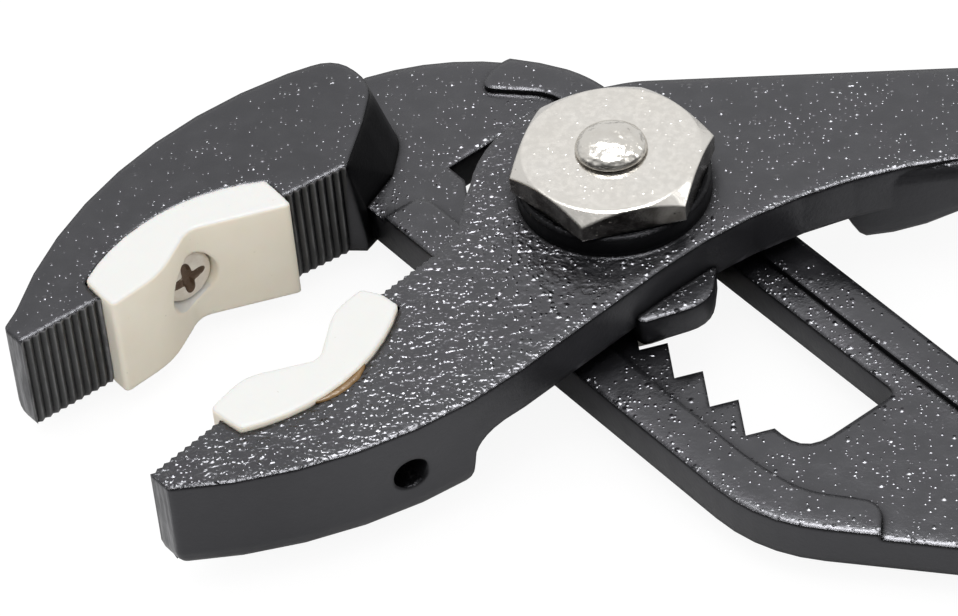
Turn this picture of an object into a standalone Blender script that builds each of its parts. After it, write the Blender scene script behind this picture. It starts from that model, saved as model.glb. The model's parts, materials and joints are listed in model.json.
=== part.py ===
"""Slip-joint pliers with a toothed slot and screwed-on plastic jaw pads.

The tool lies flat. X runs from the jaws to the handles, Z is up through the pivot bolt.
Outlines are in millimetres in the tool's own plane, with the pivot axis at the origin.
"""

import math

import bmesh
import bpy
from mathutils import Matrix, Vector

MM = 0.001

# heights above the underside of the jaws
JAW_T = 10.6
UPPER_DROP = 0.6
WEB_T = 3.6
RAIL_T = 4.2
LAP_Z = 5.8
TONGUE_Z = 3.9
HANDLE_T = 9.3
BOSS_H = 2.2
NUT_H = 2.7
BOLT_HEAD_H = 2.3
GAP = 0.3
SEAT_GAP = 0.15
BASE_Z = BOLT_HEAD_H + GAP

# slot, in its own frame: s along the slot, n across it
SLOT_ANGLE = math.radians(-46.6)
SLOT_START = -19.1
SLOT_END = 32.6
SLOT_WALL = 5.8
TOOTH_PITCH = 5.0
TOOTH_TIP = -5.3
TOOTH_VALLEY = -7.8
FIRST_VALLEY = -12.7
TOOTH_COUNT = 9
TOOTH_RAMP = 3.9
RAIL_LEFT = (-14.4, -9.8)
RAIL_RIGHT = (8.4, 12.1)

# pivot
BORE_R = 5.2
SHANK_R = 5.0
NECK_R = 3.0
DOME_R = 3.4
DOME_H = 1.3
NUT_AF = 17.0
NUT_TURN = math.radians(17)
NUT_BORE_R = 3.2
BOSS_R = 9.2
BOLT_HEAD_R = 8.6

# jaws, pads and screws
PAD_HALF = 10.2
PAD_END = 2.6
PAD_BACK = 5.55
UPPER_FACE = (
    (10.25, 0.3, 0.3, 0), (10.2, -1.75, 0.6, 0), (0.8, 1.9, 1.2, 0),
    (-4.4, -1.3, 2.0, 0), (-10.2, -1.9, 0.6, 0), (-10.25, 0.3, 0.3, 0),
)
LOWER_FACE = (
    (10.25, 0.5, 0.4, 0), (9.5, -1.5, 0.6, 0), (5.8, -1.5, 1.6, 0), (0.6, 1.9, 1.0, 0),
    (-5.4, -1.9, 1.6, 0), (-10.2, -1.4, 0.6, 0), (-10.25, 1.0, 0.4, 0),
)
PAD_VALLEY = 1.9
PAD_OVER = 0.5
RIDGE_PITCH = 0.85
RIDGE_DEPTH = 0.24
JAW_ROUNDING = ((0.0, 1.1), (0.5, 0.55), (1.1, 0.2), (2.0, 0.0))
# back of the thick lower jaw: (height, how far it stands out towards the handle)
JAW_BACK = (
    (-2.0, -2.0), (0.0, -1.9), (0.3, -1.2), (0.8, -0.6), (1.6, -0.15), (2.8, 0.1), (4.0, 0.3),
    (4.5, 0.6), (4.9, 1.0), (5.3, 1.6), (5.6, 2.4), (LAP_Z, 3.6),
)
SCREW_R = 1.5
SCREW_HEAD_R = 2.8
SCREW_HEAD_H = 1.3
SCREW_LEN = 7.6
TAPPED_R = 1.7
HOLE_REACH = 30.0
COUNTERBORE_R = 3.0
COUNTERBORE_D = 1.2
UPPER_SEAT = (-38.96, -8.05)
UPPER_TILT = math.radians(41)
UPPER_SCREW = math.radians(131)
LOWER_SEAT = (-27.35, -22.2)
LOWER_TILT = math.radians(51)
LOWER_SCREW = math.radians(-42)

# handles: (x, y) of the root, heading at root and end, length, width at root and end,
# and how square the underside's corners are past the root (2 is an ellipse)
FRONT_HANDLE = (25.0, 9.1, 7.0, -3.0, 160.0, 13.6, 11.0, 2.2)
REAR_HANDLE = (37.0, -32.6, -10.0, -8.0, 149.0, 14.0, 11.0, 3.0)
FRONT_STEP = (-0.036, -0.016)
FRONT_THINNING = (-0.016, 0.08)
THINNING = (0.12, 0.45)
GRIPPED_T = 6.9
GRIP_START = 0.34
GRIP_WALL = 1.9
GRIP_CAP = 3.0
ROOT_POWER = 6.0
HANDLE_STEPS = 18
SECTION_STEPS = 24
END_ROUND = 5.0


def clear_scene():
    for item in list(bpy.data.objects):
        bpy.data.objects.remove(item, do_unlink=True)


def material(name, color, roughness, metallic):
    made = bpy.data.materials.new(name)
    made.use_nodes = True
    shader = made.node_tree.nodes["Principled BSDF"]
    shader.inputs["Base Color"].default_value = (*color, 1)
    shader.inputs["Roughness"].default_value = roughness
    shader.inputs["Metallic"].default_value = metallic
    return made


def new_object(name, verts, faces):
    mesh = bpy.data.meshes.new(name)
    mesh.from_pydata([Vector(v) * MM for v in verts], [], faces)
    made = bpy.data.objects.new(name, mesh)
    bpy.context.collection.objects.link(made)
    work = bmesh.new()
    work.from_mesh(mesh)
    bmesh.ops.recalc_face_normals(work, faces=work.faces)
    work.to_mesh(mesh)
    work.free()
    return made


def combine(target, tool, operation):
    """Boolean tool into target and drop the tool."""
    step = target.modifiers.new("cut", "BOOLEAN")
    step.operation = operation
    step.solver = "EXACT"
    step.object = tool
    bpy.context.view_layer.update()
    graph = bpy.context.evaluated_depsgraph_get()
    done = bpy.data.meshes.new_from_object(target.evaluated_get(graph))
    target.modifiers.clear()
    target.data = done
    bpy.data.objects.remove(tool, do_unlink=True)


def cut(target, tool):
    combine(target, tool, "DIFFERENCE")


def join(target, tool):
    combine(target, tool, "UNION")


# ---------------------------------------------------------------- outlines


def edge_points(a, b, bulge):
    """Points from a to b; a positive bulge bows to the right of travel by that height."""
    ax, ay = a
    bx, by = b
    length = math.hypot(bx - ax, by - ay)
    if abs(bulge) < 1e-6:
        return [a, b]
    turn = 4 * math.atan2(2 * abs(bulge), length)
    count = max(2, math.ceil(math.degrees(turn) / 7))
    radius = length / (2 * math.sin(turn / 2))
    nx, ny = (by - ay) / length, -(bx - ax) / length
    side = math.copysign(1, bulge)
    points = []
    for i in range(count + 1):
        angle = turn * (i / count - 0.5)
        along = radius * math.sin(angle) + length / 2
        out = side * (radius * math.cos(angle) - radius * math.cos(turn / 2))
        t = along / length
        points.append((ax + (bx - ax) * t + nx * out, ay + (by - ay) * t + ny * out))
    return points


def along(points, distance):
    """Drop the first distance millimetres of a run of points."""
    left = distance
    run = list(points)
    while len(run) > 2 and math.dist(run[0], run[1]) <= left:
        left -= math.dist(run[0], run[1])
        run.pop(0)
    span = math.dist(run[0], run[1])
    t = min(0.95, left / span)
    run[0] = (
        run[0][0] + (run[1][0] - run[0][0]) * t,
        run[0][1] + (run[1][1] - run[0][1]) * t,
    )
    return run


def outline_with_push(corners, steps=5):
    """Closed run of points from (x, y, ease, bulge) corners, ending at the first corner.

    ease is how far back from the corner its rounding starts, bulge bows the edge that
    leaves it. Each point comes with the move that shifts its edges inwards by one.
    """
    count = len(corners)
    full = []
    for i, (x, y, _, bulge) in enumerate(corners):
        full.append(edge_points((x, y), corners[(i + 1) % count][:2], bulge))
    mitres = []
    for i in range(count):
        mitres.append(mitre(full[i - 1][-2], full[i][0], full[i][1]))
    edges = []
    for i, run in enumerate(full):
        if corners[i][2]:
            run = along(run, corners[i][2])
        if corners[(i + 1) % count][2]:
            run = along(run[::-1], corners[(i + 1) % count][2])[::-1]
        edges.append(run)
    points, pushes = [], []
    for i, run in enumerate(edges):
        end = (i + 1) % count
        for k in range(1, len(run) - 1):
            points.append(run[k])
            pushes.append(mitre(run[k - 1], run[k], run[k + 1]))
        points.append(run[-1])
        pushes.append(mitres[end])
        if corners[end][2]:
            after = edges[end][0]
            for k in range(1, steps + 1):
                points.append(bend(run[-1], corners[end][:2], after, k / steps))
                pushes.append(mitres[end])
    return points, pushes


def outline(corners, steps=5):
    return outline_with_push(corners, steps)[0]


def bend(a, corner, b, t):
    """Point at share t of the curve that rounds a corner from a to b."""
    return tuple(
        (1 - t) ** 2 * p + 2 * t * (1 - t) * c + t * t * q for p, c, q in zip(a, corner, b)
    )


def mitre(a, b, c):
    """Move of b that shifts the edges a-b and b-c to their left by one."""
    normals = []
    for p, q in ((a, b), (b, c)):
        length = math.dist(p, q)
        normals.append(((p[1] - q[1]) / length, (q[0] - p[0]) / length))
    (px, py), (qx, qy) = normals
    scale = 1 / max(0.4, 1 + px * qx + py * qy)
    return ((px + qx) * scale, (py + qy) * scale)


def slot_point(s, n):
    c, d = math.cos(SLOT_ANGLE), math.sin(SLOT_ANGLE)
    return (s * c - n * d, s * d + n * c)


def circle(radius, count, start=0.0):
    angles = [start + math.tau * i / count for i in range(count)]
    return [(radius * math.cos(angle), radius * math.sin(angle)) for angle in angles]


def ridges(a, b):
    """Saw-tooth run from a to b, cut to the left of travel, without its end points."""
    length = math.dist(a, b)
    count = max(1, round(length / RIDGE_PITCH))
    ux, uy = (b[0] - a[0]) / length, (b[1] - a[1]) / length
    points = []
    for i in range(count):
        for part, depth in ((0.5, RIDGE_DEPTH), (1.0, 0.0)):
            t = (i + part) * length / count
            points.append((a[0] + ux * t - uy * depth, a[1] + uy * t + ux * depth))
    return points[:-1]


def seat_run(seat, tilt, flip):
    """The pad's seat along a jaw face, from its jaw-tip end to its heel end."""
    half = PAD_HALF + SEAT_GAP
    back = PAD_BACK + SEAT_GAP
    end = PAD_END + SEAT_GAP * 0.5
    rise = back - end
    local = [(-half, 0.0)]
    local += edge_points((-half, end), (half, end), -rise)
    local.append((half, 0.0))
    return [pad_to_plane(p, seat, tilt, flip) for p in local]


def pad_to_plane(point, seat, tilt, flip):
    """Pad frame (u along the face to the heel, v into the jaw) to the tool's plane."""
    u, v = point
    v *= flip
    c, s = math.cos(tilt), math.sin(tilt)
    return (seat[0] + u * c - v * s, seat[1] + u * s + v * c)


# ---------------------------------------------------------------- solids


def stacked(name, rings):
    """Solid through (z, points) rings with equal point counts, from the lowest up."""
    count = len(rings[0][1])
    verts = [(x, y, z) for z, points in rings for x, y in points]
    faces = [tuple(range(count))[::-1], tuple(range(len(verts) - count, len(verts)))]
    for r in range(len(rings) - 1):
        for i in range(count):
            j = (i + 1) % count
            a, b = r * count, (r + 1) * count
            faces.append((a + i, a + j, b + j, b + i))
    return new_object(name, verts, faces)


def prism(name, points, z0, z1):
    return stacked(name, [(z0, points), (z1, points)])


def jaw_block(name, points, pushes, flare, roundness=1.0, drop=0.0):
    """Jaw from drop below the web's underside up, lower edges rounded; flare leans its walls."""
    rings = []
    for z, inset in JAW_ROUNDING:
        inset *= roundness
        low = 1 - z / JAW_T
        ring = []
        for (x, y), (px, py) in zip(points, pushes):
            ring.append((x + px * inset + flare((x, y)) * low, y + py * inset))
        rings.append((z - drop, ring))
    rings.append((JAW_T, points))
    return stacked(name, rings)


def turned(name, profile, count=48):
    """Solid of revolution about Z from (radius, z) pairs that start and end on the axis."""
    inner = profile[1:-1]
    rings = len(inner)
    verts = [(0, 0, profile[0][1]), (0, 0, profile[-1][1])]
    for radius, z in inner:
        verts += [(x, y, z) for x, y in circle(radius, count)]
    faces = []
    for k in range(count):
        m = (k + 1) % count
        faces.append((0, 2 + m, 2 + k))
        last = 2 + (rings - 1) * count
        faces.append((1, last + k, last + m))
        for r in range(rings - 1):
            a, b = 2 + r * count, 2 + (r + 1) * count
            faces.append((a + k, a + m, b + m, b + k))
    return new_object(name, verts, faces)


def place(item, direction, origin):
    """Turn a solid built along Z so that Z points along direction, and move it."""
    turn = Vector((0, 0, 1)).rotation_difference(Vector(direction)).to_matrix().to_4x4()
    item.data.transform(Matrix.Translation(Vector(origin) * MM) @ turn)


def rod(name, radius, origin, heading, length, count=24):
    """Cylinder in the tool's plane at mid jaw height, from origin along heading."""
    item = turned(name, [(0, 0), (radius, 0), (radius, length), (0, length)], count)
    place(item, (math.cos(heading), math.sin(heading), 0), (*origin, JAW_T / 2))
    return item


def handle_frame(spec, t):
    """Point and heading at share t of a handle whose heading changes evenly."""
    x, y, start, end, length = spec[:5]
    steps = 24
    for i in range(steps):
        heading = math.radians(start + (end - start) * t * (i + 0.5) / steps)
        x += math.cos(heading) * length * t / steps
        y += math.sin(heading) * length * t / steps
    return x, y, math.radians(start + (end - start) * t)


def section(low_power, high_power):
    """Rounded box section reaching from -1 to 1 both ways, rounder at a lower power."""
    points = []
    for i in range(SECTION_STEPS):
        angle = math.tau * (i + 0.5) / SECTION_STEPS
        c, s = math.cos(angle), math.sin(angle)
        power = low_power if s < 0 else high_power
        across = math.copysign(abs(c) ** (2 / power), c)
        up = math.copysign(abs(s) ** (2 / power), s)
        points.append((across, up))
    return points


def handle_solid(name, spec, heights, stops, extra=0.0, last=1.0):
    """Loft along a handle through the shares in stops.

    heights gives the underside and the top at a share, extra grows the section.
    """
    length, width_root, width_end, low_power = spec[4:]
    rings = []
    for t in stops:
        x, y, heading = handle_frame(spec, t)
        share = 0.6 * blend(t, 0.02, 0.35) + 0.4 * max(0.0, t)
        half = (width_root + (width_end - width_root) * share) / 2 + extra
        low, high = heights(t)
        middle, tall = (low + high) / 2, (high - low) / 2 + extra
        scale = end_scale(t, last, length)
        ring = []
        low_corner = ROOT_POWER + (low_power - ROOT_POWER) * blend(t, 0.0, 0.06)
        high_corner = 7.0 - 3.6 * blend(t, 0.05, 0.2)
        for across, up in section(low_corner, high_corner):
            across *= half * scale
            ring.append((
                x - math.sin(heading) * across,
                y + math.cos(heading) * across,
                middle + up * tall * scale,
            ))
        rings.append(ring)
    verts = [p for ring in rings for p in ring]
    count = SECTION_STEPS
    faces = [tuple(range(count)), tuple(range(len(verts) - count, len(verts)))[::-1]]
    for r in range(len(rings) - 1):
        for k in range(count):
            m = (k + 1) % count
            a, b = r * count, (r + 1) * count
            faces.append((a + k, a + m, b + m, b + k))
    return new_object(name, verts, faces)


def spaced(start, end, count):
    return [start + (end - start) * i / count for i in range(count + 1)]


def blend(t, start, end):
    """Smooth 0 to 1 between start and end."""
    x = min(1.0, max(0.0, (t - start) / (end - start)))
    return x * x * (3 - 2 * x)


def end_stops(last, length):
    """Shares of a handle's length over its rounded end."""
    return [last - END_ROUND / length * (1 - math.sin(math.radians(a))) for a in (0, 25, 45, 62, 75)]


def end_scale(t, last, length):
    left = (last - t) * length
    if left >= END_ROUND:
        return 1.0
    return math.sqrt(max(0.02, 1 - (1 - left / END_ROUND) ** 2))


# ---------------------------------------------------------------- rear half


def jaw_outline(corners, seat):
    """Outline whose closing edge is the ridged gripping face with the pad's seat in it."""
    points, pushes = outline_with_push(corners)
    first, last = corners[0][:2], corners[-1][:2]
    face = mitre(last, seat[0], first)
    before = ridges(last, seat[0])
    after = ridges(seat[-1], first)
    inner = len(seat) - 2
    run = before + seat + after
    run_pushes = [face] * (len(before) + 1) + [(0, 0)] * inner + [face] * (len(after) + 1)
    return [points[-1]] + points[:-1] + run, [pushes[-1]] + pushes[:-1] + run_pushes


def upper_jaw_outline():
    corners = [
        (-25.6, 2.9, 0, 0),
        (-24.6, 9.2, 0, 0),
        (-24.2, 14.6, 2.2, 0),
        (-28.0, 18.3, 2.6, 5.7),
        (-54.5, -16.4, 0.6, 0),
        (-55.3, -18.7, 0.5, 0),
        (-53.4, -20.6, 0, 0),
    ]
    return jaw_outline(corners, seat_run(UPPER_SEAT, UPPER_TILT, 1))


def inner_wall_lean(point):
    """How far the upper jaw's inner wall leans out towards the web at its foot."""
    x, y = point
    if x < -26 or y < 2.5:
        return 0.0
    return 3.8 * min(1.0, 0.3 + (y - 2.5) / 6)


def web_outline():
    return outline([
        (-31.0, 6.5, 0, 0),
        (*slot_point(-20.5, RAIL_LEFT[0]), 0.8, 0),
        (*slot_point(36.6, RAIL_LEFT[0]), 6.0, 0),
        (47.0, -40.8, 0, 0),
        (48.0, -27.0, 0, 0),
        (*slot_point(43.5, RAIL_RIGHT[1]), 5.0, 0),
        (-3.8, 22.3, 2.5, 2.7),
        (-26.2, 23.1, 0, 0.6),
        (-33.5, 14.5, 0, 0),
    ])


def slot_outline():
    points = [(SLOT_START, TOOTH_TIP)]
    for k in range(TOOTH_COUNT):
        valley = FIRST_VALLEY + k * TOOTH_PITCH
        points += [(valley - TOOTH_RAMP, TOOTH_TIP), (valley, TOOTH_VALLEY)]
    points.append((FIRST_VALLEY + TOOTH_COUNT * TOOTH_PITCH - TOOTH_RAMP, TOOTH_TIP))
    corners = [(*slot_point(s, n), 0.0, 0.0) for s, n in points]
    corners.append((*slot_point(SLOT_END, TOOTH_TIP), 3.2, 0.0))
    corners.append((*slot_point(SLOT_END, SLOT_WALL), 1.2, 0.0))
    corners.append((*slot_point(SLOT_START, SLOT_WALL), 1.2, 0.0))
    return outline(corners)


def rail_outlines():
    left = outline([
        (*slot_point(-17.5, -17), 0, 0),
        (*slot_point(42.0, -17), 0, 0),
        (25.6, -42.0, 0, 0),
        (25.7, -33.8, 2.0, 0),
        (18.6, -32.6, 2.5, 0),
        (*slot_point(30.5, RAIL_LEFT[1]), 2.5, 0),
        (*slot_point(-17.5, RAIL_LEFT[1]), 2.0, 0),
    ])
    right = outline([
        (*slot_point(-20.0, RAIL_RIGHT[0]), 2.0, 0),
        (*slot_point(46.0, RAIL_RIGHT[0]), 2.0, 0),
        (*slot_point(46.0, 16), 0, 0),
        (*slot_point(-20.0, 20), 0, 0),
        (-9.0, 27.0, 0, 0),
        (-13.6, 24.3, 1.9, 0),
        (-14.7, 20.9, 1.4, 0),
    ])
    return left, right


def rear_heights(t):
    """The rear handle lies on the web's underside and rises out of the web."""
    top = WEB_T - 0.3 + (HANDLE_T - WEB_T + 0.3) * blend(t, -0.02, 0.07)
    thinned = (HANDLE_T - GRIPPED_T) * blend(t, *THINNING)
    return 0.02 + 0.4 * thinned, top - 0.6 * thinned


def front_heights(t):
    """The front handle hangs from the lap's top face, behind a step under the lap."""
    low = JAW_T - HANDLE_T
    step = (LAP_Z + 0.4 - low) * (1 - blend(t, *FRONT_STEP))
    thinned = (HANDLE_T - GRIPPED_T) * blend(t, *FRONT_THINNING)
    lowered = 0.9 * blend(t, *THINNING)
    return low + step + thinned - lowered, JAW_T - 0.02 - lowered


def build_rear_half():
    body = prism("rear_half", web_outline(), 0, RAIL_T)
    channel = prism("channel", [(-60, -60), (80, -60), (80, 60), (-60, 60)], WEB_T, 9)
    for number, points in enumerate(rail_outlines()):
        cut(channel, prism(f"rail_{number}", points, WEB_T - 1, 10))
    cut(body, channel)
    cut(body, prism("slot", slot_outline(), -2, 12))
    stops = spaced(-0.02, 0.07, 6) + spaced(0.09, 0.95, HANDLE_STEPS)
    stops += end_stops(1.0, REAR_HANDLE[4])
    join(body, handle_solid("handle", REAR_HANDLE, rear_heights, stops))
    join(body, jaw_block("jaw", *upper_jaw_outline(), inner_wall_lean, 0.35, UPPER_DROP))
    cut(body, rod("hole", TAPPED_R, UPPER_SEAT, UPPER_SCREW, HOLE_REACH))
    return body


# ---------------------------------------------------------------- front half


def front_outline():
    corners = [
        (-39.4, -37.0, 0, 0),
        (-37.6, -38.9, 0.5, 3.1),
        (-7.0, -23.8, 0, 0),
        (5.1, -10.7, 2.0, -2.5),
        (32.4, 4.1, 2.0, 0),
        (38.0, 5.2, 0, 0),
        (38.0, 16.9, 0, 0),
        (0.9, 14.8, 1.5, 0.5),
        (-8.6, 10.4, 0, 1.2),
        (-13.6, 0.4, 0, 0.2),
        (-14.2, -5.6, 1.0, 0),
        (-16.1, -8.7, 0, 0),
    ]
    return jaw_outline(corners, seat_run(LOWER_SEAT, LOWER_TILT, -1)[::-1])


def lap_cut():
    """Everything under the lap, from the thick jaw's curved back to the handle."""
    rings = []
    for z, shift in JAW_BACK:
        rings.append((z, [(shift - 7.2, -41.0), (70.0, -41.0), (70.0, 40.0), (shift - 34.0, 40.0)]))
    return stacked("lap", rings)


def tongue_outline():
    return outline([
        (9.7, -6.0, 0.8, 0),
        (7.3, -0.9, 0, 0),
        (7.4, 0.9, 0, 6.0),
        (-5.6, -4.8, 0, 0),
        (3.2, -14.0, 0.6, 0),
        (9.5, -11.2, 2.4, 0),
    ])


def build_front_half():
    body = jaw_block("front_half", *front_outline(), lambda point: 0.0)
    cut(body, lap_cut())
    join(body, prism("tongue", tongue_outline(), TONGUE_Z, LAP_Z + 1))
    boss = turned("boss", [
        (0, LAP_Z + 1),
        (BOSS_R, LAP_Z + 1),
        (BOSS_R, JAW_T + BOSS_H - 0.3),
        (BOSS_R - 0.3, JAW_T + BOSS_H),
        (0, JAW_T + BOSS_H),
    ], 64)
    join(body, boss)
    stops = spaced(*FRONT_STEP, 5) + [0.0, 0.02] + spaced(0.04, 0.95, HANDLE_STEPS + 2)
    stops += end_stops(1.0, FRONT_HANDLE[4])
    join(body, handle_solid("handle", FRONT_HANDLE, front_heights, stops))
    bore = turned("bore", [(0, -2), (BORE_R, -2), (BORE_R, 20), (0, 20)], 48)
    cut(body, bore)
    cut(body, rod("hole", TAPPED_R, LOWER_SEAT, LOWER_SCREW, HOLE_REACH))
    return body


# ---------------------------------------------------------------- pivot


def build_bolt():
    head = turned("pivot_bolt", [
        (0, -BASE_Z),
        (BOLT_HEAD_R - 0.6, -BASE_Z),
        (BOLT_HEAD_R, -BASE_Z + 0.6),
        (BOLT_HEAD_R, -GAP),
        (0, -GAP),
    ])
    key = prism("key", [
        slot_point(s, n)
        for s, n in outline([
            (-4.8, TOOTH_TIP + GAP, 0.8, 0),
            (4.8, TOOTH_TIP + GAP, 0.8, 0),
            (4.8, SLOT_WALL - GAP, 2.5, 0),
            (-4.8, SLOT_WALL - GAP, 2.5, 0),
        ])
    ], -1.2, WEB_T)
    join(head, key)
    top = JAW_T + BOSS_H
    dome = top + GAP + NUT_H
    profile = [(0, 1.0), (2.6, 1.0), (2.6, WEB_T + GAP), (SHANK_R, WEB_T + GAP)]
    profile += [(SHANK_R, top - 0.4), (NECK_R, top - 0.4), (NECK_R, dome + 0.15)]
    profile += [(DOME_R, dome + 0.15)]
    for i in range(1, 6):
        angle = math.radians(18 * i)
        profile.append((DOME_R * math.cos(angle) + 1e-3, dome + 0.15 + DOME_H * math.sin(angle)))
    profile[-1] = (0, dome + 0.15 + DOME_H)
    join(head, turned("shank", profile))
    return head


def build_nut():
    z0 = JAW_T + BOSS_H + GAP * 0.5
    corner = NUT_AF / math.sqrt(3)
    nut = prism("pivot_nut", circle(corner, 6, NUT_TURN), z0, z0 + NUT_H)
    shaper = turned("shaper", [
        (0, z0 - 1),
        (corner + 1, z0 - 1),
        (corner + 1, z0 + NUT_H - 1.75),
        (NUT_AF / 2 - 0.1, z0 + NUT_H + 0.02),
        (0, z0 + NUT_H + 0.02),
    ], 72)
    combine(nut, shaper, "INTERSECT")
    cut(nut, turned("hole", [(0, z0 - 1), (NUT_BORE_R, z0 - 1), (NUT_BORE_R, 30), (0, 30)]))
    return nut


# ---------------------------------------------------------------- pads and screws


def build_pad(name, face, seat, tilt, flip, screw_heading):
    """Pad with an arc back, blunt ends and a notched face given from heel to tip."""
    corners = [(-PAD_HALF, PAD_END, 0.3, PAD_END - PAD_BACK), (PAD_HALF, PAD_END, 0.3, 0)]
    points = [pad_to_plane(p, seat, tilt, flip) for p in outline(corners + list(face))]
    pad = prism(name, points, -PAD_OVER, JAW_T + PAD_OVER)
    mouth = screw_seat(seat, tilt, flip)
    back = screw_heading + math.pi
    cut(pad, rod("counterbore", COUNTERBORE_R, mouth, back, 9))
    start = (mouth[0] + 6 * math.cos(back), mouth[1] + 6 * math.sin(back))
    cut(pad, rod("hole", SCREW_R + 0.15, start, screw_heading, 15))
    return pad


def screw_seat(seat, tilt, flip):
    """Where the screw head's underside sits, in the tool's plane."""
    return pad_to_plane((0, PAD_VALLEY + COUNTERBORE_D), seat, tilt, flip)


def build_screw(name, seat, tilt, flip, heading):
    """Cross-recess pan-head screw: head in the pad's counterbore, shank in the jaw."""
    top = SCREW_HEAD_H
    screw = turned(name, [
        (0, -SCREW_LEN),
        (SCREW_R - 0.5, -SCREW_LEN),
        (SCREW_R, -SCREW_LEN + 0.5),
        (SCREW_R, 0.1),
        (SCREW_HEAD_R, 0.1),
        (SCREW_HEAD_R, top - 0.5),
        (SCREW_HEAD_R - 0.25, top - 0.15),
        (SCREW_HEAD_R - 0.8, top),
        (0, top + 0.08),
    ], 32)
    for wide, deep in ((1.7, 0.42), (0.42, 1.7)):
        recess = prism("recess", [(-wide, -deep), (wide, -deep), (wide, deep), (-wide, deep)],
                       top - 0.8, top + 1)
        cut(screw, recess)
    direction = (-math.cos(heading), -math.sin(heading), 0)
    place(screw, direction, (*screw_seat(seat, tilt, flip), JAW_T / 2))
    return screw


# ---------------------------------------------------------------- grips


def build_grip(name, spec, heights):
    length = spec[4]
    last = 1.0 + GRIP_CAP / length
    stops = [GRIP_START, GRIP_START + 0.008] + spaced(GRIP_START + 0.03, 0.97, 12)
    grip = handle_solid(name, spec, heights, stops + end_stops(last, length), GRIP_WALL, last)
    inner = 1.0 + 2 * GAP / length
    stops = spaced(GRIP_START - 0.02, 0.95, HANDLE_STEPS) + end_stops(inner, length)
    cut(grip, handle_solid("cavity", spec, heights, stops, GAP, inner))
    return grip


# ---------------------------------------------------------------- assembly


def smooth(item):
    mesh = item.data
    for face in mesh.polygons:
        face.use_smooth = True
    mesh.set_sharp_from_angle(angle=math.radians(32))


def tidy_mesh(item):
    work = bmesh.new()
    work.from_mesh(item.data)
    bmesh.ops.remove_doubles(work, verts=work.verts, dist=1e-6)
    bmesh.ops.recalc_face_normals(work, faces=work.faces)
    work.to_mesh(item.data)
    work.free()


def main():
    clear_scene()
    paint = material("black_paint", (0.022, 0.023, 0.026), 0.42, 0.0)
    nickel = material("nickel", (0.72, 0.70, 0.66), 0.24, 1.0)
    bolt_steel = material("bolt_steel", (0.62, 0.61, 0.59), 0.3, 1.0)
    plastic = material("pad_plastic", (0.80, 0.76, 0.66), 0.45, 0.0)
    screw_steel = material("screw_steel", (0.60, 0.54, 0.46), 0.35, 1.0)
    vinyl = material("grip_vinyl", (0.03, 0.032, 0.036), 0.6, 0.0)

    frame = bpy.data.objects.new("tool_frame", None)
    bpy.context.collection.objects.link(frame)
    frame.location = (0, 0, BASE_Z * MM)

    upper = (UPPER_SEAT, UPPER_TILT, 1, UPPER_SCREW)
    lower = (LOWER_SEAT, LOWER_TILT, -1, LOWER_SCREW)
    pieces = (
        (build_rear_half(), paint),
        (build_front_half(), paint),
        (build_bolt(), bolt_steel),
        (build_nut(), nickel),
        (build_pad("upper_jaw_pad", UPPER_FACE, *upper), plastic),
        (build_pad("lower_jaw_pad", LOWER_FACE, *lower), plastic),
        (build_screw("upper_pad_screw", *upper), screw_steel),
        (build_screw("lower_pad_screw", *lower), screw_steel),
        (build_grip("front_grip", FRONT_HANDLE, front_heights), vinyl),
        (build_grip("rear_grip", REAR_HANDLE, rear_heights), vinyl),
    )
    for item, look in pieces:
        item.data.name = item.name
        item.data.materials.clear()
        item.data.materials.append(look)
        tidy_mesh(item)
        smooth(item)
        item.parent = frame


main()
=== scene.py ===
"""Looks for the slip-joint pliers: materials, refined meshes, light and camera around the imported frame."""

import json
import math

import bmesh
import bpy
import numpy as np
from mathutils import Matrix, Vector, noise

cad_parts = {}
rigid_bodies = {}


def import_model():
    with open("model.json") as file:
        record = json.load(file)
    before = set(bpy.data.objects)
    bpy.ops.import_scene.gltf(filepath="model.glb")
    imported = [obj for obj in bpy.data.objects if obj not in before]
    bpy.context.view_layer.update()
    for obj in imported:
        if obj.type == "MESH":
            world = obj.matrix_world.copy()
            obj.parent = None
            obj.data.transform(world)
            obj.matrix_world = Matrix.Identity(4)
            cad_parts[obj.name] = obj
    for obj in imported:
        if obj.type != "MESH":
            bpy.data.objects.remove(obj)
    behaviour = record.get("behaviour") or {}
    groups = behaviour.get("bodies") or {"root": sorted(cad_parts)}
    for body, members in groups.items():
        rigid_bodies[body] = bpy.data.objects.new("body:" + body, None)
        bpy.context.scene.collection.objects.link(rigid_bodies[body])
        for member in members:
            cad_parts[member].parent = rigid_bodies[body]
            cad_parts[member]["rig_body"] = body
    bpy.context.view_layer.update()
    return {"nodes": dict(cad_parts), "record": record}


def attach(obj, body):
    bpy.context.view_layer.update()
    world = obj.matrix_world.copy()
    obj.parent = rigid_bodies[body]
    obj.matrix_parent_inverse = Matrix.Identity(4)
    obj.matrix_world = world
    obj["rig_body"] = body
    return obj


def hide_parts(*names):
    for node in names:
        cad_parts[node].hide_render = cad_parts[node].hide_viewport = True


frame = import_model()

MM = 0.001
NODES = frame["nodes"]

CAMERA_AT = (41.442 * MM, -361.441 * MM, 357.588 * MM)
CAMERA_TURN = (0.79012, 0.07500, 0.07788)
CAMERA_LENS = 201.31

BLUISH = (0.94, 0.94, 1.0, 1)
FLOOR_BOUNCE = 0.62
FRONT_SKY = 0.07
BACK_SKY = 0.94
EVEN_SKY = 1.05

# serrated strips of the jaws: facet width in millimetres, angle between neighbours in degrees
FACET_WIDTH = (0.40, 0.62)
FACET_TURN = (45, 75)
FACET_REACH = 0.55

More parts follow.
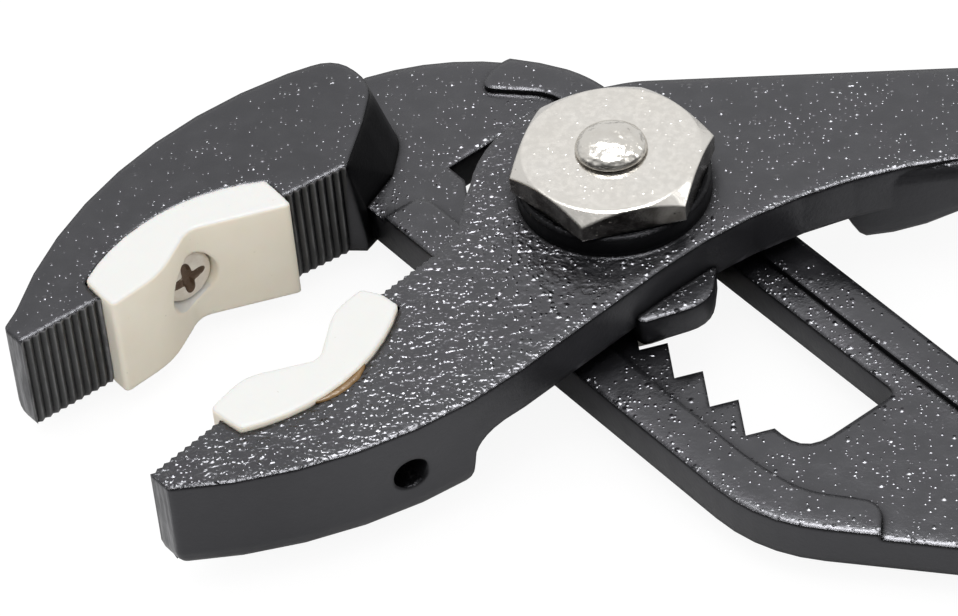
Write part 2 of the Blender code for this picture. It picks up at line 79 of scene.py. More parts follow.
# pads, in millimetres: half length, arc height of the back, how far they stand above the jaw
PAD_HALF = 10.2
PAD_ARC = 2.95
PAD_OVER = 0.5
BEDDING_SPAN = (-3.3, 3.1)
BEDDING_WIDTH = 0.72
BEDDING_SECTION = ((-0.2, 0.14), (0.3, 0.20), (0.75, 0.16), (1.0, 0.02), (1.0, -0.10), (-0.2, -0.10))
BEDDING_STEPS = 28

# screws, in millimetres; rows of mesh across the recess and across the dome around it
RECESS_TIP = 2.0
RECESS_WAIST = 0.88
RECESS_DEPTH = 0.60
RECESS_ROWS = 14
DOME_ROWS = 14
DOME_SAG = 0.20
RIM_STEP = 0.22
HEAD_HEIGHT = 1.25
SHANK_R = 1.45
SCREW_TURNS = 96
BRUISE = 0.02

# round boss under the nut, in millimetres: radius, and the height above which its wall is painted darker as
# shade
COLLAR_R = 9.2
COLLAR_Z = 13.3

# resampled pieces: voxel size in millimetres, rounds of smoothing
GRIP_VOXEL = 0.55
PAD_VOXEL = 0.16
SMOOTH_ROUNDS = 3

# mouth of the grips, in millimetres: bead height, its middle and its half width; length of a slice
BEAD = (0.75, 1.6, 1.3)
SLICE = 2.0

# lights: position and size in metres, radiance
KEY = ((0.0, 0.09, 1.0), (0.50, 0.46), 22.0)
TOP_SOFT = ((-0.1, 0.1, 1.0), (0.8, 0.8), 0.9)
RIGHT_PANEL = ((0.8, 0.07, 0.6), (0.25, 0.25), 3.0)
CLEAR_WHITE = 1.05

# floor: half width and drop, matt share and glow as the camera sees it, fall-off of its bounce
FLOOR_REACH = 3.0
FLOOR_DROP = 0.2 * MM
FLOOR_SEEN = 0.14
FLOOR_GLOW = 0.90
FLOOR_FAR = 0.12
FLOOR_FADE = (0.15, 0.5)


# ---------------------------------------------------------------- node graph helper


class Graph:
    """A node tree, built by calls that take sockets or plain values as inputs."""

    def __init__(self, owner):
        owner.use_nodes = True
        self.owner = owner
        self.tree = owner.node_tree
        self.tree.nodes.clear()

    def node(self, kind, inputs=None, **settings):
        made = self.tree.nodes.new("ShaderNode" + kind)
        for key, value in settings.items():
            setattr(made, key, value)
        for key, value in (inputs or {}).items():
            socket = made.inputs[key]
            if isinstance(value, bpy.types.NodeSocket):
                self.tree.links.new(value, socket)
            else:
                socket.default_value = value
        return made

    def add(self, kind, inputs=None, output=0, **settings):
        made = self.node(kind, inputs, **settings)
        return made.outputs[output] if made.outputs else None

    def math(self, operation, a, b=0.0, c=0.0):
        return self.add("Math", {0: a, 1: b, 2: c}, operation=operation)

    def times(self, a, b):
        return self.math("MULTIPLY", a, b)

    def plus(self, a, b):
        return self.math("ADD", a, b)

    def ramp(self, value, low, high, to_low=0.0, to_high=1.0):
        inputs = {0: value, 1: low, 2: high, 3: to_low, 4: to_high}
        return self.add("MapRange", inputs, interpolation_type="SMOOTHSTEP")

    def mix(self, factor, a, b):
        return self.add("Mix", {0: factor, 6: a, 7: b}, output=2, data_type="RGBA")

    def place(self, stretch=(1, 1, 1)):
        """The piece's own coordinates in millimetres."""
        point = self.add("TexCoord", output=3)
        return self.add("Mapping", {"Vector": point, "Scale": tuple(s / MM for s in stretch)})

    def noise(self, scale, detail=2.0, roughness=0.5, stretch=(1, 1, 1), distortion=0.0):
        inputs = {
            "Vector": self.place(stretch),
            "Scale": scale,
            "Detail": detail,
            "Roughness": roughness,
            "Distortion": distortion,
        }
        return self.add("TexNoise", inputs)

    def domes(self, scale, radius_mm, share, stretch=(1, 1, 1)):
        """Round bumps of mixed size in a random share of cells, 1 at their tops."""
        cell = self.node("TexVoronoi", {"Vector": self.place(stretch), "Scale": scale})
        random = self.node("SeparateColor", {0: cell.outputs["Color"]})
        limit = self.math("SUBTRACT", 1.0, share)
        picked = self.math("GREATER_THAN", random.outputs[0], limit)
        radius = self.ramp(random.outputs[1], 0.0, 1.0, radius_mm * scale * 0.55, radius_mm * scale)
        dome = self.ramp(self.math("DIVIDE", cell.outputs["Distance"], radius), 1.0, 0.0)
        return self.times(dome, picked)

    def bump(self, height, depth_mm, normal=None, strength=1.0):
        inputs = {"Height": height, "Distance": depth_mm * MM, "Strength": strength}
        if normal is not None:
            inputs["Normal"] = normal
        return self.add("Bump", inputs)

    def bevel(self, radius_mm, samples=6):
        return self.add("Bevel", {"Radius": radius_mm * MM}, samples=samples)

    def open_sky(self, reach_mm, samples=5, **settings):
        """1 in the open, falling towards 0 in crevices within reach (or on crests, from inside)."""
        inputs = {"Distance": reach_mm * MM}
        return self.add("AmbientOcclusion", inputs, output=1, samples=samples, **settings)

    def edge(self, soft, full=0.80):
        """Rises from 0 on open faces to 1 at edges, within the radius of the bevel soft."""
        normal = self.add("NewGeometry", output=1)
        dot = self.add("VectorMath", {0: soft, 1: normal}, output=1, operation="DOT_PRODUCT")
        return self.ramp(dot, 0.995, full)

    def part_of(self, vector, index):
        return self.add("SeparateXYZ", {0: vector}, output=index)

    def facing(self, index):
        """One coordinate of the true normal."""
        return self.part_of(self.add("NewGeometry", output=1), index)

    def upward(self):
        """1 on faces that look up, 0 on walls."""
        return self.ramp(self.facing(2), 0.55, 0.85)

    def blend_normals(self, a, b, share):
        part = self.add("VectorMath", {0: b, 3: share}, operation="SCALE")
        rest = self.add("VectorMath", {0: a, 3: self.math("SUBTRACT", 1.0, share)}, operation="SCALE")
        both = self.add("VectorMath", {0: part, 1: rest}, operation="ADD")
        return self.add("VectorMath", {0: both}, operation="NORMALIZE")

    def finish(self, color, roughness, metallic=0.0, normal=None, **extra):
        inputs = {"Base Color": color, "Roughness": roughness, "Metallic": metallic}
        if normal is not None:
            inputs["Normal"] = normal
        for key, value in extra.items():
            inputs[key.replace("_", " ")] = value
        shader = self.add("BsdfPrincipled", inputs)
        self.add("OutputMaterial", {"Surface": shader})
        return self.owner


def new_graph(name):
    return Graph(bpy.data.materials.new(name))


# ---------------------------------------------------------------- materials


def enamel_density(g, wide, base, rough_jaw):
    """How much of the enamel carries grains: near the front edges, in patches, on the rough jaw."""
    crown = g.edge(wide, 0.90)
    front_edge = g.times(crown, g.ramp(g.part_of(wide, 1), -0.03, -0.30))
    along = g.times(g.part_of(g.add("TexCoord", output=3), 0), 1 / MM)
    jaw = g.times(g.ramp(along, 9.0, -18.0), rough_jaw)
    patch = g.ramp(g.noise(0.16, 2.0), 0.44, 0.64)
    density = g.plus(g.plus(g.times(front_edge, 0.42), g.times(patch, 0.24)), base)
    calm = g.ramp(along, -30.0, -22.0, 0.45 + 2.0 * rough_jaw, 1.0)
    density = g.times(density, calm)
    return g.math("MINIMUM", g.plus(density, jaw), 0.95), jaw


def bare_tip_and_sheen(g, tip):
    """1 on the end faces of the jaws, which look to the left and forwards; they are painted lighter grey,
    partly bare ground metal and partly painted light.
    """
    left = g.ramp(g.facing(0), -0.45, -0.60)
    forward = g.ramp(g.facing(1), -0.35, -0.55)
    wall = g.math("SUBTRACT", 1.0, g.upward())
    along = g.times(g.part_of(g.add("TexCoord", output=3), 0), 1 / MM)
    return g.times(g.times(g.times(left, forward), wall), g.ramp(along, tip + 3.0, tip))


def collar_shade_mask(g):
    """1 on the wall of the round boss that lifts the nut off the lap, where paint() darkens colour and
    reflections as painted shade.
    """
    point = g.add("TexCoord", output=3)
    flat = g.add("VectorMath", {0: point, 1: (1, 1, 0)}, operation="MULTIPLY")
    radius = g.times(g.add("VectorMath", {0: flat}, output=1, operation="LENGTH"), 1 / MM)
    height = g.times(g.part_of(point, 2), 1 / MM)
    inside = g.ramp(radius, COLLAR_R + 0.9, COLLAR_R + 0.5)
    return g.times(inside, g.ramp(height, COLLAR_Z, COLLAR_Z + 0.4))


def paint(name, rounding, sag, base, rough_jaw, tip, right_shade_strength):
    """Textured black enamel on a forging: satin walls, tops with round glinting grains; painted shade
    darkens its colour and reflections in cracks, under nearby parts, on right-facing walls, along wall rims
    and on the nut's boss, and its jaw end faces are painted lighter, partly bare ground metal and partly
    painted light.
    """
    g = new_graph(name)
    soft = g.bevel(rounding)
    wide = g.bevel(3.0, 8)
    up = g.upward()
    density, jaw = enamel_density(g, wide, base, rough_jaw)
    along = g.times(g.part_of(g.add("TexCoord", output=3), 0), 1 / MM)
    normal = g.blend_normals(soft, wide, g.ramp(along, -30.0, -20.0, 0.4 * sag, sag))
    normal = g.bump(g.noise(0.5, 2.0), 0.05, normal, 0.5)
    normal = g.bump(g.noise(2.6, 2.0, 0.6), 0.022, normal)
    crinkle = g.ramp(g.noise(1.25, 1.0, 0.5, distortion=0.25), 0.34, 0.66)
    normal = g.bump(g.times(g.times(crinkle, jaw), up), 0.085, normal)
    large = g.plus(g.times(density, 0.50), g.times(jaw, 0.55))
    normal = g.bump(g.times(g.domes(1.25, 0.46, large), up), 0.095, normal)
    small = g.math("MULTIPLY_ADD", density, 1.3, g.math("MULTIPLY_ADD", jaw, -1.0, 0.12))
    normal = g.bump(g.times(g.domes(2.1, 0.25, small), up), 0.05, normal)
    shade = g.mix(g.noise(0.35, 3.0), (0.006, 0.006, 0.007, 1), (0.011, 0.011, 0.0125, 1))
    # jaw end faces: lighter streaked grey, partly bare ground metal and partly painted light on faces that
    # look left
    bare_and_sheen = bare_tip_and_sheen(g, tip)
    streaks = g.noise(1.2, 3.0, 0.6, stretch=(1.6, 1.6, 0.16))
    ground_and_sheen = g.mix(g.ramp(streaks, 0.35, 0.72), (0.035, 0.035, 0.037, 1), (0.22, 0.22, 0.225, 1))
    # painted shade: colour and specular level darkened in narrow cracks and under nearby parts and walls
    crack_shade = g.ramp(g.open_sky(1.3), 0.45, 0.90, 0.05, 1.0)
    under_shade = g.ramp(g.open_sky(6.0), 0.26, 0.68, 0.10, 1.0)
    # painted shade: walls that face right are darkened, as strongly as the last argument of paint() says
    steep = g.ramp(g.part_of(soft, 2), 0.95, 0.75)
    right_side_shade = g.times(g.ramp(g.part_of(soft, 0), 0.30, 0.70), steep)
    # painted shade: a dark band along the upper rim of walls
    rim_shade = g.times(g.edge(soft, 0.90), g.ramp(g.part_of(soft, 2), 0.08, 0.30))
    rim_shade = g.times(rim_shade, g.math("SUBTRACT", 1.0, up))
    lit = g.times(g.times(crack_shade, under_shade), g.math("MULTIPLY_ADD", right_side_shade, -right_shade_strength, 1.0))
    lit = g.times(lit, g.math("MULTIPLY_ADD", rim_shade, -0.85, 1.0))
    # painted shade on the wall of the boss under the nut
    lit = g.times(lit, g.math("MULTIPLY_ADD", collar_shade_mask(g), -0.75, 1.0))
    level = g.times(lit, g.ramp(along, -30.0, -20.0, 0.78, 0.95))
    color = g.mix(lit, (0.001, 0.001, 0.0012, 1), g.mix(bare_and_sheen, shade, ground_and_sheen))
    roughness = g.ramp(up, 0.0, 1.0, 0.33, 0.22)
    roughness = g.plus(roughness, g.ramp(g.noise(0.5, 4.0), 0.3, 0.7, -0.03, 0.04))
    return g.finish(color, roughness, 0.0, normal, Specular_IOR_Level=level, Specular_Tint=BLUISH)


def serrated_paint():
    """Black enamel turned grey along the crests of the jaw's gripping ridges, partly wear and partly painted
    highlight, with its reflections dimmed as painted shade in the valleys and deep hollows.
    """
    g = new_graph("serrated_paint")
    normal = g.bump(g.noise(1.6, 3.0, 0.6, stretch=(1, 1, 0.25)), 0.08, g.bevel(0.08), 0.6)
    crest = g.ramp(g.open_sky(0.32, 10, inside=True), 0.97, 0.74)
    # crests: grey that is partly wear and partly painted highlight
    wear_and_highlight = g.times(crest, g.ramp(g.noise(1.3, 3.0, 0.6, stretch=(1, 1, 0.3)), 0.30, 0.62, 0.25, 1.0))
    color = g.mix(wear_and_highlight, (0.003, 0.003, 0.0035, 1), (0.16, 0.16, 0.165, 1))
    # painted shade: reflections dimmed in deep hollows and in the valleys between ridges
    depth = g.ramp(g.open_sky(14.0, only_local=True), 0.55, 0.95, 0.06, 0.85)
    valley_shade = g.ramp(g.open_sky(0.32, 8), 0.72, 0.97, 0.15, 1.0)
    return g.finish(color, 0.34, 0.0, normal, Specular_IOR_Level=g.times(depth, valley_shade))


def nickel():
    """Warm bright plate with fine pits; its side walls are painted darker as shade and reflection, except
    along their edges.
    """
    g = new_graph("nickel")
    soft = g.bevel(0.30)
    normal = g.bump(g.noise(0.35, 2.0), 0.015, soft, 0.5)
    normal = g.bump(g.domes(2.4, 0.20, 0.11), 0.03, normal)
    normal = g.bump(g.noise(5.0, 3.0, 0.65), 0.006, normal, 1.0)
    face = g.mix(g.noise(0.3, 3.0), (0.68, 0.65, 0.60, 1), (0.72, 0.70, 0.665, 1))
    # painted shade and reflection: side walls darker, their edges left bright
    wall = g.times(g.ramp(g.facing(2), 0.30, 0.10), g.math("SUBTRACT", 1.0, g.edge(soft, 0.85)))
    side_shade = g.times(wall, g.ramp(g.noise(0.5, 2.0), 0.25, 0.70, 1.0, 0.55))
    color = g.mix(side_shade, face, (0.10, 0.09, 0.08, 1))
    roughness = g.ramp(g.noise(2.0, 4.0), 0.3, 0.7, 0.17, 0.25)
    return g.finish(color, roughness, 1.0, normal)


def bolt_steel():
    """Plated steel; the riveted end is dented by the hammer."""
    g = new_graph("bolt_steel")
    normal = g.bump(g.noise(0.75, 2.0, 0.4), 0.55, g.bevel(0.3), 0.6)
    normal = g.bump(g.noise(6.0, 3.0, 0.6), 0.02, normal, 0.5)
    color = g.mix(g.noise(0.8, 3.0), (0.60, 0.57, 0.52, 1), (0.72, 0.70, 0.66, 1))
    roughness = g.ramp(g.noise(3.0, 3.0), 0.3, 0.7, 0.10, 0.20)
    return g.finish(color, roughness, 1.0, normal)


def pad_plastic():
    """Off-white moulded plastic with a faint mottled skin and slightly glossy, waxy edges."""
    g = new_graph("pad_plastic")
    normal = g.bump(g.noise(1.1, 3.0, 0.6), 0.03, g.bevel(0.5), 0.6)
    normal = g.bump(g.noise(8.0, 2.0), 0.008, normal, 0.5)
    side = g.mix(g.noise(0.22, 2.0), (0.86, 0.79, 0.655, 1), (0.93, 0.88, 0.77, 1))
    # painted light and shade: tops of the one plastic are coloured greyer and the sides warmer beige, by
    # facing
    color = g.mix(g.upward(), side, (0.745, 0.745, 0.725, 1))
    specks = g.ramp(g.noise(1.3, 2.0, 0.5), 0.74, 0.78)
    color = g.mix(g.times(specks, 0.35), color, (0.45, 0.40, 0.33, 1))
    roughness = g.ramp(g.noise(0.9, 3.0), 0.3, 0.7, 0.38, 0.50)
    return g.finish(
        color, roughness, 0.0, normal,
        Subsurface_Weight=0.12, Subsurface_Scale=0.5 * MM, Specular_IOR_Level=0.3,
    )


def screw_steel():
    """Dull nickel plate; its colour is blotched with beige, a painted reflection of the pads around it."""
    g = new_graph("screw_steel")
    normal = g.bump(g.noise(4.0, 3.0, 0.6), 0.04, None, 0.7)
    # beige blotches: painted reflection of the pads
    color = g.mix(g.noise(1.4, 3.0), (0.68, 0.60, 0.51, 1), (0.90, 0.86, 0.79, 1))
    roughness = g.ramp(g.noise(2.6, 3.0), 0.3, 0.7, 0.30, 0.46)
    return g.finish(color, roughness, 0.35, normal, Specular_IOR_Level=0.6)


def recess_shade_steel():
    """Dark brown painted shade in the screw's cross recess, with a few bright flecks."""
    g = new_graph("recess_shade_steel")
    normal = g.bump(g.noise(3.5, 3.0, 0.6), 0.06, None, 0.8)
    flecks = g.ramp(g.noise(2.2, 2.0), 0.62, 0.70)
    color = g.mix(flecks, (0.14, 0.09, 0.058, 1), (0.45, 0.38, 0.30, 1))
    return g.finish(color, 0.42, 0.3, normal)


def bedding():
    """Brown, slightly clear bedding compound."""
    g = new_graph("bedding")
    normal = g.bump(g.noise(2.5, 3.0, 0.6), 0.05, None, 0.8)
    color = g.mix(g.noise(1.1, 3.0), (0.09, 0.045, 0.012, 1), (0.30, 0.165, 0.045, 1))
    return g.finish(color, 0.40, 0.0, normal)


def grip_vinyl():
    """Dipped black vinyl: satin skin with soft runs and a fine pebble."""
    g = new_graph("grip_vinyl")
    runs = g.noise(0.12, 2.0, 0.5, stretch=(0.3, 1, 1))
    pebble = g.add("TexVoronoi", {"Vector": g.place(), "Scale": 2.2}, feature="SMOOTH_F1")
    normal = g.bump(runs, 0.4, None, 0.3)
    normal = g.bump(pebble, 0.04, normal, 0.35)
    color = g.mix(g.noise(0.2, 3.0), (0.016, 0.017, 0.019, 1), (0.030, 0.031, 0.034, 1))
    roughness = g.ramp(g.noise(0.7, 3.0), 0.3, 0.7, 0.42, 0.58)
    return g.finish(color, roughness, 0.0, normal, Specular_IOR_Level=0.45)


# ---------------------------------------------------------------- serrated strips of the jaws


def facets_of(mesh):
    """Centre, normal and plan width of every face."""
    count = len(mesh.polygons)
    centres, normals = np.empty(count * 3), np.empty(count * 3)
    mesh.polygons.foreach_get("center", centres)
    mesh.polygons.foreach_get("normal", normals)
    points = np.array([v.co for v in mesh.vertices])[:, :2] / MM
    widths = np.zeros(count)
    for i, face in enumerate(mesh.polygons):
        plan = points[list(face.vertices)]
        widths[i] = max(np.linalg.norm(plan[a] - plan[b]) for a, b in ((0, 1), (1, 2), (2, 0)))
    return centres.reshape(-1, 3) / MM, normals.reshape(-1, 3), widths


def serrated_faces(mesh):
    """Faces of the ridged strips: narrow walls that zig-zag against their neighbours."""
    centres, normals, widths = facets_of(mesh)
    wall = np.abs(normals[:, 2]) < 0.1
    narrow = np.nonzero(wall & (widths > FACET_WIDTH[0]) & (widths < FACET_WIDTH[1]))[0]
    low, high = math.cos(math.radians(FACET_TURN[1])), math.cos(math.radians(FACET_TURN[0]))
    ridged = []
    for i in narrow:
        near = np.linalg.norm(centres[narrow, :2] - centres[i, :2], axis=1) < FACET_WIDTH[1]
        turn = normals[narrow[near]] @ normals[i]
        if ((turn > low) & (turn < high)).any():
            ridged.append(i)
    chosen = set(ridged)
    plan = centres[ridged, :2]
    for i in np.nonzero(np.abs(normals[:, 2]) < 0.85)[0]:
        if len(plan) and np.linalg.norm(plan - centres[i, :2], axis=1).min() < FACET_REACH:
            if widths[i] < FACET_WIDTH[1] * 1.2:
                chosen.add(int(i))
    return chosen


def dress_nodes():
    looks = {
        "nickel": nickel(),
        "bolt_steel": bolt_steel(),
        "pad_plastic": pad_plastic(),
        "screw_steel": screw_steel(),
        "grip_vinyl": grip_vinyl(),
        "black_paint": None,
    }
    ridges = serrated_paint()
    painted = {
        "front_half": paint("front_paint", 0.70, 0.22, 0.14, 0.80, -37.5, 0.0),
        "rear_half": paint("rear_paint", 0.80, 0.27, 0.15, 0.0, -53.0, 0.85),
    }
    for part in frame["record"]["subparts"]:
        mesh = NODES[part["node"]].data
        mesh.materials.clear()
        mesh.materials.append(painted.get(part["node"]) or looks[part["material_slot"]])
    for name in painted:
        mesh = NODES[name].data
        mesh.materials.append(ridges)
        for index in serrated_faces(mesh):
            mesh.polygons[index].material_index = 1
    looks["recess"] = recess_shade_steel()
    looks["bedding"] = bedding()
    return looks


# ---------------------------------------------------------------- refined pieces


def world_points(node):
    item = NODES[node]
    return np.array([item.matrix_world @ v.co for v in item.data.vertices])


def new_piece(name, mesh, body, materials):
    for look in materials:
        mesh.materials.append(look)
    for face in mesh.polygons:
        face.use_smooth = True
    piece = bpy.data.objects.new(name, mesh)
    bpy.context.scene.collection.objects.link(piece)
    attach(piece, body)
    return piece


def remeshed(node, voxel_mm, rounds):
    """Copy of a node's mesh in world coordinates, resampled evenly with its edges rounded."""
    item = NODES[node]
    source = item.data.copy()
    source.transform(item.matrix_world)
    holder = bpy.data.objects.new("resample", source)
    bpy.context.scene.collection.objects.link(holder)
    step = holder.modifiers.new("even", "REMESH")
    step.mode = "VOXEL"
    step.voxel_size = voxel_mm * MM
    step = holder.modifiers.new("round", "SMOOTH")
    step.factor = 0.5
    step.iterations = rounds
    bpy.context.view_layer.update()
    graph = bpy.context.evaluated_depsgraph_get()
    mesh = bpy.data.meshes.new_from_object(holder.evaluated_get(graph))
    bpy.data.objects.remove(holder, do_unlink=True)
    mesh.materials.clear()
    return mesh


def shape_grip(mesh):
    """Roll the mouth of the sleeve into a bead and let its skin wander a little."""
    points = np.array([v.co for v in mesh.vertices]) / MM
    normals = np.array([v.normal for v in mesh.vertices])
    start = points[:, 0].min()
    slices = np.floor((points[:, 0] - start) / SLICE).astype(int)
    middles = np.array([points[slices == k].mean(axis=0) for k in range(slices.max() + 1)])
    spokes = points - middles[slices]
    spokes[:, 0] = 0
    spokes /= np.maximum(np.linalg.norm(spokes, axis=1), 1e-6)[:, None]
    outward = np.clip((spokes * normals).sum(axis=1), 0, 1)
    along = points[:, 0] - start
    bead = BEAD[0] * np.exp(-((along - BEAD[1]) / BEAD[2]) ** 2)
    for i, vertex in enumerate(mesh.vertices):
        x, y, z = points[i]
        run = noise.noise(Vector((x * 0.05, y * 0.12, z * 0.12))) * 0.22
        run += noise.noise(Vector((x * 0.16, y * 0.2, z * 0.2 + 9))) * 0.08
        push = (bead[i] + run * min(1.0, along[i] / 6)) * outward[i]
        vertex.co += Vector(normals[i]) * float(push) * MM


def build_grips(look):
    for node in ("front_grip", "rear_grip"):
        mesh = remeshed(node, GRIP_VOXEL, SMOOTH_ROUNDS)
        shape_grip(mesh)
        piece = new_piece(node + "_skin", mesh, NODES[node]["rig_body"], [look])
        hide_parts(node)


def build_pads(look):
    for node in ("upper_jaw_pad", "lower_jaw_pad"):
        mesh = remeshed(node, PAD_VOXEL, SMOOTH_ROUNDS)
        piece = new_piece(node + "_moulding", mesh, NODES[node]["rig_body"], [look])
        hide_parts(node)


def level_axis(points):
    """Unit direction in plan in which the points spread most."""
    plan = points[:, :2] - points[:, :2].mean(axis=0)
    values, vectors = np.linalg.eigh(plan.T @ plan)
    return vectors[:, np.argmax(values)]


def screw_frame(node):
    """Matrix that puts a screw built along -Z, head top at the origin, where the node is."""
    points = world_points(node)
    axis = level_axis(points)
    side = np.array([-axis[1], axis[0]])
    along, across = points[:, :2] @ axis, points[:, :2] @ side
    middle = (across.max() + across.min()) / 2
    if along[np.argmax(np.abs(across - middle))] < (along.max() + along.min()) / 2:
        axis, along = -axis, -along
    top = axis * along.max() + side * middle
    z = Vector((*axis, 0))
    y = Vector((0, 0, 1))
    turn = Matrix((y.cross(z), y, z)).transposed().to_4x4()
    height = (points[:, 2].max() + points[:, 2].min()) / 2
    radius = (across.max() - across.min()) / 2 / MM
    length = (along.max() - along.min()) / MM
    return Matrix.Translation((*top, height)) @ turn, radius, length


def recess_edge(angle):
    """Radius of the cross recess: four pointed arms and rounded waists between them."""
    return RECESS_WAIST + (RECESS_TIP - RECESS_WAIST) * abs(math.cos(2 * angle)) ** 2.4


def screw_profile(radius, length):
    """(radius, height) rings below the domed top, down to the pointed end."""
    return [
        (radius - 0.12, -0.28), (radius - 0.03, -0.40), (radius, -0.60),
        (radius, -HEAD_HEIGHT + 0.1), (radius - 0.1, -HEAD_HEIGHT),
        (SHANK_R, -HEAD_HEIGHT), (SHANK_R, 0.6 - length), (SHANK_R - 0.5, 0.02 - length),
    ]


def screw_point(row, edge, flat, sides):
    """(radius, height) on a row: rows follow the recess's outline, then the dome, then the sides."""
    if row >= RECESS_ROWS + DOME_ROWS:
        return sides[row - RECESS_ROWS - DOME_ROWS]
    share = (row + 1) / RECESS_ROWS
    if share <= 1:
        r = edge * share
    else:
        r = edge + (flat - edge) * (row + 1 - RECESS_ROWS) / DOME_ROWS
    sunk = RECESS_DEPTH * min(1.0, (1 - share) * 2.2 + 0.25) if share < 1 else 0.0
    return r, -DOME_SAG * (r / flat) ** 2.4 - sunk


def screw_mesh(name, radius, length):
    """Screw with a shallow dome, a worn cross recess and a plain shank."""
    turns = SCREW_TURNS
    sides = screw_profile(radius, length)
    rows = RECESS_ROWS + DOME_ROWS + len(sides)
    verts = [(0, 0, -RECESS_DEPTH)]
    for row in range(rows):
        for i in range(turns):
            angle = math.tau * i / turns + 0.12
            edge = recess_edge(math.tau * i / turns)
            r, z = screw_point(row, edge, radius - RIM_STEP, sides)
            bruise = BRUISE * noise.noise(Vector((r * 1.7, angle * 2.5, length)))
            verts.append((r * math.cos(angle), r * math.sin(angle), z + bruise))
    faces = [(0, 1 + i, 1 + (i + 1) % turns) for i in range(turns)]
    inner = [True] * turns
    for row in range(rows - 1):
        for i in range(turns):
            j = (i + 1) % turns
            a, b = 1 + row * turns, 1 + (row + 1) * turns
            faces.append((a + i, b + i, b + j, a + j))
            inner.append(row < RECESS_ROWS - 1)
    verts.append((0, 0, -length))
    last = 1 + (rows - 1) * turns
    faces += [(last + i, len(verts) - 1, last + (i + 1) % turns) for i in range(turns)]
    inner += [False] * turns
    mesh = bpy.data.meshes.new(name)
    mesh.from_pydata([Vector(v) * MM for v in verts], [], faces)
    return mesh, inner


def build_screws(plate, shaded_recess):
    for node in ("upper_pad_screw", "lower_pad_screw"):
        where, radius, length = screw_frame(node)
        mesh, inner = screw_mesh(node + "_worn", radius, length)
        mesh.transform(where)
        piece = new_piece(node + "_worn", mesh, NODES[node]["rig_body"], [plate, shaded_recess])
        # faces inside the cross recess get the painted shade
        for face, sunk in zip(mesh.polygons, inner):
            face.material_index = int(sunk)
        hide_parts(node)


def pad_frame(node):
    """Middle and unit directions of a pad in plan: along its face, and into its jaw."""
    points = world_points(node)
    start = math.atan2(*level_axis(points)[::-1])
    plan = points[:, :2] / MM

    def spread(angle):
        return np.ptp(plan @ np.array([math.cos(angle), math.sin(angle)]))

    angle = min((start + math.radians(step / 8) for step in range(-44, 45)), key=spread)
    u = np.array([math.cos(angle), math.sin(angle)])
    u = u if u[0] > 0 else -u
    v = np.array([-u[1], u[0]])
    along, into = plan @ u, plan @ v
    ends = into[np.abs(along - (along.max() + along.min()) / 2) > PAD_HALF - 0.3].mean()
    if into.max() - ends < ends - into.min():
        v, into = -v, -into
    return u * (along.max() + along.min()) / 2 + v * into.max(), u, v, points[:, 2].max() / MM


def build_bedding(look):
    """Sliver of brown bedding squeezed out behind the lower pad."""
    back, u, v, top = pad_frame("lower_jaw_pad")
    jaw = top - PAD_OVER
    steps = BEDDING_STEPS
    ring = len(BEDDING_SECTION)
    verts, faces = [], []
    for i in range(steps + 1):
        t = i / steps
        run = BEDDING_SPAN[0] + (BEDDING_SPAN[1] - BEDDING_SPAN[0]) * t
        arc = -PAD_ARC * (run / PAD_HALF) ** 2
        ragged = 1 + 0.18 * noise.noise(Vector((run, 0, 4)))
        wide = BEDDING_WIDTH * math.sin(math.pi * t) ** 0.6 * ragged
        for share, rise in BEDDING_SECTION:
            spot = back + u * run + v * (arc + wide * share)
            rise += 0.04 * noise.noise(Vector((run * 1.4, share * 2, 1)))
            verts.append(Vector((*spot, jaw + rise)) * MM)
    for i in range(steps):
        for k in range(ring):
            m = (k + 1) % ring
            a, b = i * ring, (i + 1) * ring
            faces.append((a + k, b + k, b + m, a + m))
    faces += [tuple(range(ring)), tuple(range(steps * ring + ring - 1, steps * ring - 1, -1))]
    mesh = bpy.data.meshes.new("lower_pad_bedding")
    mesh.from_pydata(verts, [], faces)
    work = bmesh.new()
    work.from_mesh(mesh)
    bmesh.ops.recalc_face_normals(work, faces=work.faces)
    work.to_mesh(mesh)
    work.free()
    new_piece("lower_pad_bedding", mesh, NODES["lower_jaw_pad"]["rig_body"], [look])


# ---------------------------------------------------------------- studio


def build_floor():
    """Pale floor: the camera sees it nearly white, reflections see it a little darker."""
    mesh = bpy.data.meshes.new("floor")
    plan = [(-1, -1), (1, -1), (1, 1), (-1, 1)]
    corners = [(x * FLOOR_REACH, y * FLOOR_REACH, -FLOOR_DROP) for x, y in plan]
    mesh.from_pydata(corners, [], [(0, 1, 2, 3)])
    g = new_graph("floor")
    seen = g.add("LightPath", output=0)
    distance = g.add("VectorMath", {0: g.add("TexCoord", output=3)}, output=1, operation="LENGTH")
    bounce = g.ramp(distance, FLOOR_FADE[0], FLOOR_FADE[1], FLOOR_BOUNCE, FLOOR_FAR)
    albedo = g.math("MULTIPLY_ADD", seen, g.math("SUBTRACT", FLOOR_SEEN, bounce), bounce)
    grey = g.add("CombineColor", {0: albedo, 1: albedo, 2: albedo})
    diffuse = g.add("BsdfDiffuse", {"Color": grey})
    glow = g.add("Emission", {"Strength": g.times(seen, FLOOR_GLOW)})
    shader = g.add("AddShader", {0: diffuse, 1: glow})
    g.add("OutputMaterial", {"Surface": shader})
    mesh.materials.append(g.owner)
    floor = bpy.data.objects.new("floor", mesh)
    bpy.context.scene.collection.objects.link(floor)


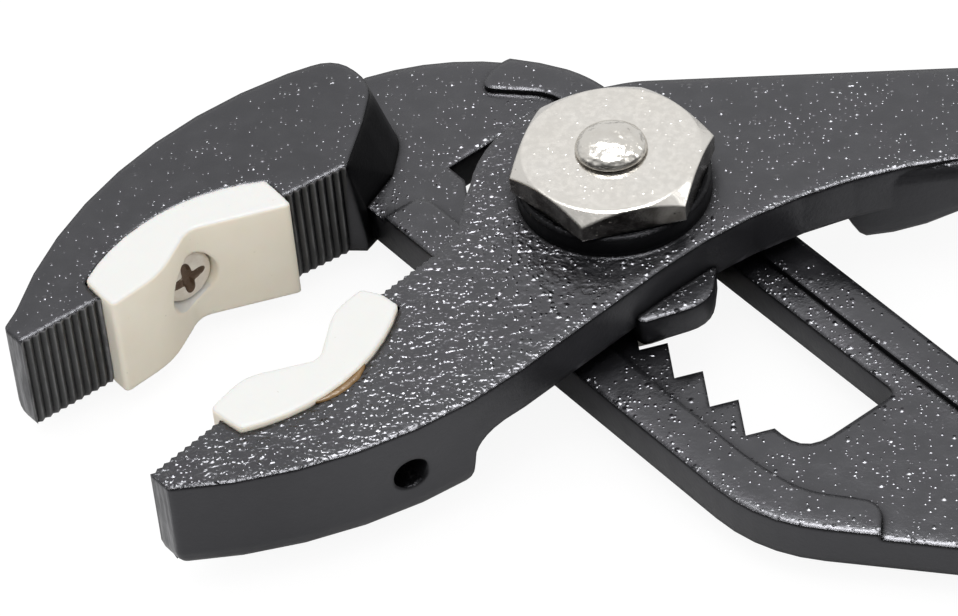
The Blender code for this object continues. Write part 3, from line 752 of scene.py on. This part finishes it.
def panel(name, place, size, radiance, diffuse=True):
    """Square soft light aimed at the tool, as bright as radiance says."""
    data = bpy.data.lights.new(name, "AREA")
    data.shape = "RECTANGLE"
    data.size, data.size_y = size
    data.energy = radiance * math.pi * size[0] * size[1]
    lamp = bpy.data.objects.new(name, data)
    lamp.location = place
    lamp.rotation_euler = (-Vector(place)).to_track_quat("-Z", "Y").to_euler()
    lamp.visible_diffuse = diffuse
    bpy.context.scene.collection.objects.link(lamp)


def build_world():
    """White to the camera; even for matt surfaces; bright behind and dark in front for gloss."""
    g = Graph(bpy.data.worlds.new("studio"))
    path = g.node("LightPath")
    direction = g.add("TexCoord", output=0)
    back = g.add("VectorMath", {0: direction, 1: (0, 0.707, 0.707)}, output=1, operation="DOT_PRODUCT")
    gloss = g.ramp(back, -0.15, 0.72, FRONT_SKY, BACK_SKY)
    mirrored = path.outputs["Is Glossy Ray"]
    even = g.math("MULTIPLY_ADD", mirrored, g.math("SUBTRACT", gloss, EVEN_SKY), EVEN_SKY)
    seen = path.outputs["Is Camera Ray"]
    strength = g.math("MULTIPLY_ADD", seen, g.math("SUBTRACT", CLEAR_WHITE, even), even)
    shader = g.add("Background", {"Color": (1, 1, 1, 1), "Strength": strength})
    g.add("OutputWorld", {"Surface": shader})
    g.owner.cycles.sampling_method = "NONE"
    bpy.context.scene.world = g.owner


def build_studio():
    build_world()
    panel("key", *KEY, diffuse=False)
    panel("top_soft", *TOP_SOFT)
    panel("right_panel", *RIGHT_PANEL, diffuse=False)
    bpy.context.scene.view_settings.view_transform = "Standard"


def build_camera():
    data = bpy.data.cameras.new("camera")
    data.sensor_width = 36
    data.sensor_fit = "HORIZONTAL"
    data.lens = CAMERA_LENS
    data.clip_start = 0.01
    camera = bpy.data.objects.new("camera", data)
    camera.location = CAMERA_AT
    camera.rotation_euler = CAMERA_TURN
    bpy.context.scene.collection.objects.link(camera)
    bpy.context.scene.camera = camera


looks = dress_nodes()
build_grips(looks["grip_vinyl"])
build_pads(looks["pad_plastic"])
build_screws(looks["screw_steel"], looks["recess"])
build_bedding(looks["bedding"])
build_floor()
build_studio()
build_camera()
